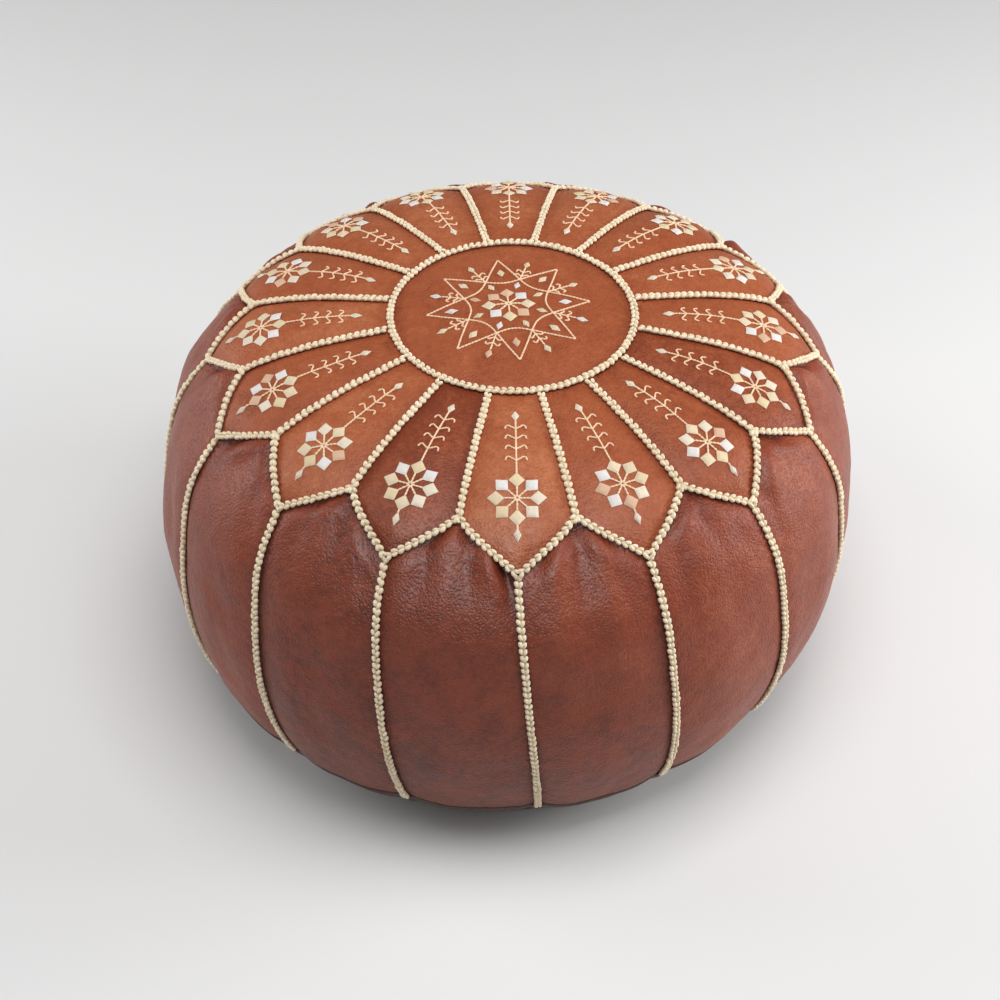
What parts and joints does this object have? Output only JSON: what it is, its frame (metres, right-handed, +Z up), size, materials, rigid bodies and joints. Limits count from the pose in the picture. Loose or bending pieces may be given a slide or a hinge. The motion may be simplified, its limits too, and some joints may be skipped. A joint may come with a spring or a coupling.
{
  "type": "moroccan leather pouf",
  "caption": "Round stuffed leather floor pouf with a petal crown, braided seams, tall side panels and a zip in the base.",
  "frame": {"origin": "on the floor, under the middle of the widest girth", "axes": "+Z up; the zip runs along X and closes towards +X; -Y is the front"},
  "size_m": [0.538, 0.5376, 0.318],
  "materials": {
    "petal_leather": "waxed, satin",
    "side_leather": "waxed, satin",
    "base_leather": "matt",
    "seam_thread": "twisted thread",
    "calico": "plain weave",
    "wadding": "loose fibre",
    "zip_tape": "twill",
    "brass": "tumbled"
  },
  "bodies": {
    "pouf": {"medallion": "petal_leather", "petal_01": "petal_leather", "petal_02": "petal_leather", "petal_03": "petal_leather", "petal_04": "petal_leather", "petal_05": "petal_leather", "petal_06": "petal_leather", "petal_07": "petal_leather", "petal_08": "petal_leather", "petal_09": "petal_leather", "petal_10": "petal_leather", "petal_11": "petal_leather", "petal_12": "petal_leather", "petal_13": "petal_leather", "petal_14": "petal_leather", "petal_15": "petal_leather", "petal_16": "petal_leather", "side_panel_01": "side_leather", "side_panel_02": "side_leather", "side_panel_03": "side_leather", "side_panel_04": "side_leather", "side_panel_05": "side_leather", "side_panel_06": "side_leather", "side_panel_07": "side_leather", "side_panel_08": "side_leather", "side_panel_09": "side_leather", "side_panel_10": "side_leather", "side_panel_11": "side_leather", "side_panel_12": "side_leather", "side_panel_13": "side_leather", "side_panel_14": "side_leather", "side_panel_15": "side_leather", "side_panel_16": "side_leather", "base_half_front": "base_leather", "base_half_back": "base_leather", "base_welt": "base_leather", "zip_patch_left": "base_leather", "zip_patch_right": "base_leather", "crown_braid": "seam_thread", "skirt_braid": "seam_thread", "liner_bag": "calico", "wadding": "wadding", "zip_tape_front": "zip_tape", "zip_tape_back": "zip_tape", "zip_teeth_front": "brass", "zip_teeth_back": "brass", "zip_bottom_stop": "brass", "zip_top_stop_front": "brass", "zip_top_stop_back": "brass"},
    "slider": {"zip_slider": "brass"},
    "pull": {"zip_pull": "brass"}
  },
  "joints": [
    {"name": "zip_slide", "type": "slide", "parent": "pouf", "child": "slider", "axis": [-1, 0, 0], "range_m": [0, 0.325]},
    {"name": "pull_hinge", "type": "hinge", "parent": "slider", "child": "pull", "pos_m": [0.16062, 0, 0.0078], "axis": [0, -1, 0], "range_deg": [-12, 152]}
  ]
}
